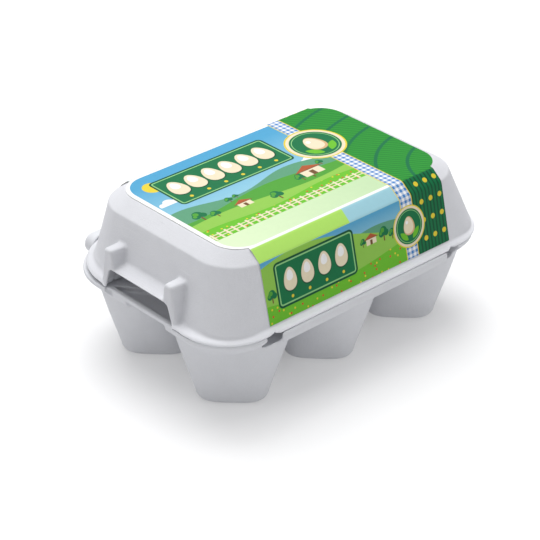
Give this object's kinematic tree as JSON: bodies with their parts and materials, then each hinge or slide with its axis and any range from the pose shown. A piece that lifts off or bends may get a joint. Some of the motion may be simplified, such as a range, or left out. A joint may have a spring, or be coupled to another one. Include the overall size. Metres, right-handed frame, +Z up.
{
  "type": "egg carton",
  "caption": "Shut moulded-pulp egg carton: tapered lid with a slot at each end, tray of rounded cups under a thin rim, hinge strip at the back, and a printed paper label over the lid.",
  "frame": {"origin": "on the ground, under the middle of the carton's bounding box", "axes": "+X along the carton's length, +Y from the front band towards the hinge strip, +Z up"},
  "size_m": [0.152, 0.1058, 0.0697],
  "materials": {
    "lid_pulp": "matt pale grey moulded pulp, fine felted grain with faint fibres and specks",
    "tray_pulp": "matt pale grey moulded pulp, fine felted grain with faint fibres and specks",
    "label_paper": "printed paper with a soft sheen, green fields under a blue sky"
  },
  "bodies": {
    "root": {"lid": "lid_pulp", "tray": "tray_pulp", "label": "label_paper"}
  },
  "joints": []
}
